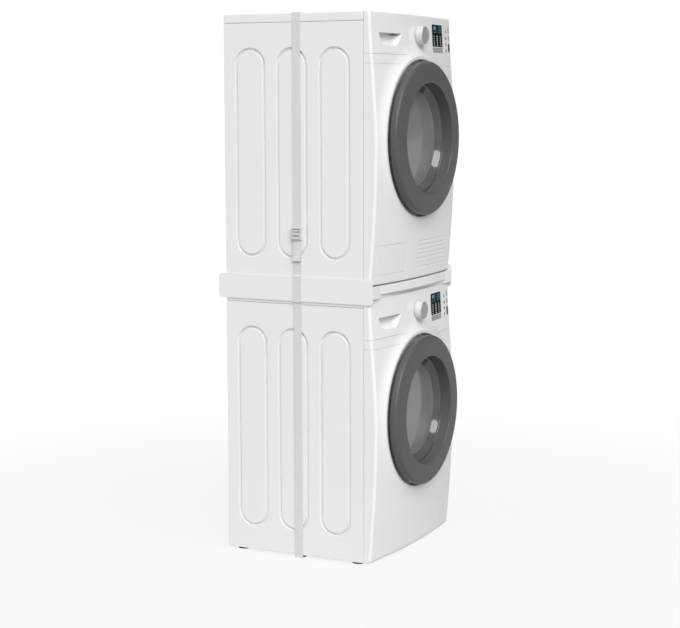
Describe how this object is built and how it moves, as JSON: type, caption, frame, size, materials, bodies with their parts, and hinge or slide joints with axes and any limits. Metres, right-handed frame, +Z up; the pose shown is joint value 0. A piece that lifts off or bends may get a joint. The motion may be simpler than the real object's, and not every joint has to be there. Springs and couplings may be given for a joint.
{
  "type": "washer dryer stack",
  "caption": "Front-load washing machine with a condenser dryer stacked above it on a kit with a pull-out shelf, tied by a webbing strap.",
  "frame": {"origin": "middle of the footprint, on the floor", "axes": "+Z up, the front faces -Y, +X to the right seen from the front"},
  "size_m": [0.6176, 0.611, 1.733],
  "materials": {
    "white_steel": "satin white enamel",
    "white_plastic": "semi-gloss white moulding",
    "ring_grey": "dark grey lacquer, glossy",
    "smoked_glass": "smoked glass",
    "display_glass": "black display glass",
    "knob_silver": "silver grey satin",
    "start_grey": "dark grey",
    "hinge_zinc": "cast zinc and aluminium",
    "grey_rubber": "soft grey rubber",
    "black_rubber": "black rubber",
    "grey_plastic": "filled grey moulding",
    "stainless": "brushed stainless steel",
    "motor_metal": "cast housing",
    "spring_steel": "bright spring wire",
    "dark_plastic": "black moulding",
    "concrete": "cast concrete",
    "webbing": "woven light grey webbing",
    "buckle_metal": "plated steel"
  },
  "bodies": {
    "root": {"washer_cabinet": "white_steel", "washer_top_panel": "white_steel", "washer_front_panel": "white_plastic", "washer_control_panel": "white_plastic", "washer_drawer_housing": "grey_plastic", "washer_display": "display_glass", "washer_door_hinge": "hinge_zinc", "washer_door_gasket": "grey_rubber", "washer_tub": "grey_plastic", "washer_drive_belt": "black_rubber", "washer_motor": "motor_metal", "washer_counterweight": "concrete", "washer_drain_pump": "grey_plastic", "washer_foot_front_left": "black_rubber", "washer_foot_front_right": "black_rubber", "washer_foot_back_left": "black_rubber", "washer_foot_back_right": "black_rubber", "washer_tub_spring_left": "spring_steel", "washer_tub_spring_right": "spring_steel", "washer_damper_left": "dark_plastic", "washer_damper_right": "dark_plastic", "dryer_cabinet": "white_steel", "dryer_top_panel": "white_steel", "dryer_front_panel": "white_plastic", "dryer_control_panel": "white_plastic", "dryer_display": "display_glass", "dryer_door_hinge": "hinge_zinc", "dryer_drum_belt": "black_rubber", "dryer_motor": "motor_metal", "dryer_condenser": "hinge_zinc", "dryer_front_bulkhead": "grey_plastic", "dryer_lint_filter": "grey_plastic", "dryer_foot_front_left": "black_rubber", "dryer_foot_front_right": "black_rubber", "dryer_foot_back_left": "black_rubber", "dryer_foot_back_right": "black_rubber", "kit_frame": "white_steel", "strap": "webbing", "buckle_frame": "buckle_metal"},
    "washer_door": {"washer_door_ring": "ring_grey", "washer_door_glass": "smoked_glass"},
    "washer_drawer": {"washer_detergent_drawer": "white_plastic"},
    "washer_knob": {"washer_program_knob": "knob_silver"},
    "washer_start": {"washer_start_button": "start_grey"},
    "washer_drum_and_pulley": {"washer_drum": "stainless", "washer_drum_pulley": "hinge_zinc"},
    "washer_rotor": {"washer_motor_pulley": "hinge_zinc"},
    "washer_flap": {"washer_filter_flap": "white_plastic"},
    "dryer_door": {"dryer_door_ring": "ring_grey", "dryer_door_glass": "smoked_glass"},
    "dryer_tank": {"dryer_water_tank": "white_plastic"},
    "dryer_knob": {"dryer_program_knob": "knob_silver"},
    "dryer_start": {"dryer_start_button": "start_grey"},
    "dryer_drum_body": {"dryer_drum": "stainless"},
    "dryer_rotor": {"dryer_fan": "grey_plastic"},
    "dryer_roller_left": {"dryer_support_roller_left": "black_rubber"},
    "dryer_roller_right": {"dryer_support_roller_right": "black_rubber"},
    "dryer_flap": {"dryer_condenser_flap": "white_plastic"},
    "shelf": {"kit_shelf": "white_plastic"},
    "lever": {"buckle_lever": "buckle_metal"}
  },
  "joints": [
    {"name": "washer_door_swing", "type": "hinge", "parent": "root", "child": "washer_door", "pos_m": [0.242, -0.291, 0.461], "axis": [0, 0, 1], "range_deg": [0, 120]},
    {"name": "washer_drawer_slide", "type": "slide", "parent": "root", "child": "washer_drawer", "axis": [0, -1, 0], "range_m": [0, 0.22]},
    {"name": "washer_knob_turn", "type": "hinge", "parent": "root", "child": "washer_knob", "pos_m": [0.006, -0.27, 0.7875], "axis": [0, -1, 0], "continuous": true},
    {"name": "washer_start_press", "type": "slide", "parent": "root", "child": "washer_start", "axis": [0, 1, 0], "range_m": [0, 0.0012], "stiffness_N_per_m": 500},
    {"name": "washer_drum_spin", "type": "hinge", "parent": "root", "child": "washer_drum_and_pulley", "pos_m": [0, 0, 0.461], "axis": [0, -1, 0], "continuous": true},
    {"name": "washer_motor_spin", "type": "hinge", "parent": "root", "child": "washer_rotor", "pos_m": [0, 0.2, 0.12], "axis": [0, -1, 0], "continuous": true},
    {"name": "washer_flap_swing", "type": "hinge", "parent": "root", "child": "washer_flap", "pos_m": [0.224, -0.2524, 0.0282], "axis": [1, 0, 0], "range_deg": [0, 90]},
    {"name": "dryer_door_swing", "type": "hinge", "parent": "root", "child": "dryer_door", "pos_m": [0.242, -0.291, 1.342], "axis": [0, 0, 1], "range_deg": [0, 120]},
    {"name": "dryer_tank_slide", "type": "slide", "parent": "root", "child": "dryer_tank", "axis": [0, -1, 0], "range_m": [0, 0.33]},
    {"name": "dryer_knob_turn", "type": "hinge", "parent": "root", "child": "dryer_knob", "pos_m": [0.006, -0.27, 1.6685], "axis": [0, -1, 0], "continuous": true},
    {"name": "dryer_start_press", "type": "slide", "parent": "root", "child": "dryer_start", "axis": [0, 1, 0], "range_m": [0, 0.0012], "stiffness_N_per_m": 500},
    {"name": "dryer_drum_spin", "type": "hinge", "parent": "root", "child": "dryer_drum_body", "pos_m": [0, 0, 1.342], "axis": [0, -1, 0], "continuous": true},
    {"name": "dryer_fan_spin", "type": "hinge", "parent": "root", "child": "dryer_rotor", "pos_m": [0.17, 0.15, 0.986], "axis": [0, -1, 0], "continuous": true},
    {"name": "dryer_roller_left_spin", "type": "hinge", "parent": "root", "child": "dryer_roller_left", "pos_m": [-0.19965, -0.155, 1.10407], "axis": [0, -1, 0], "continuous": true},
    {"name": "dryer_roller_right_spin", "type": "hinge", "parent": "root", "child": "dryer_roller_right", "pos_m": [0.19965, -0.155, 1.10407], "axis": [0, -1, 0], "continuous": true},
    {"name": "dryer_flap_swing", "type": "hinge", "parent": "root", "child": "dryer_flap", "pos_m": [-0.1825, -0.2584, 0.9212], "axis": [1, 0, 0], "range_deg": [0, 90]},
    {"name": "shelf_slide", "type": "slide", "parent": "root", "child": "shelf", "axis": [0, -1, 0], "range_m": [0, 0.28]},
    {"name": "buckle_lever_swing", "type": "hinge", "parent": "root", "child": "lever", "pos_m": [-0.3088, 0.016, 1.056], "axis": [0, 1, 0], "range_deg": [0, 110]}
  ],
  "couplings": [
    {"joint": "washer_motor_spin", "follows": "washer_drum_spin", "ratio": 12.273},
    {"joint": "dryer_fan_spin", "follows": "dryer_drum_spin", "ratio": 23.333},
    {"joint": "dryer_roller_left_spin", "follows": "dryer_drum_spin", "ratio": -9.3333},
    {"joint": "dryer_roller_right_spin", "follows": "dryer_drum_spin", "ratio": -9.3333}
  ]
}
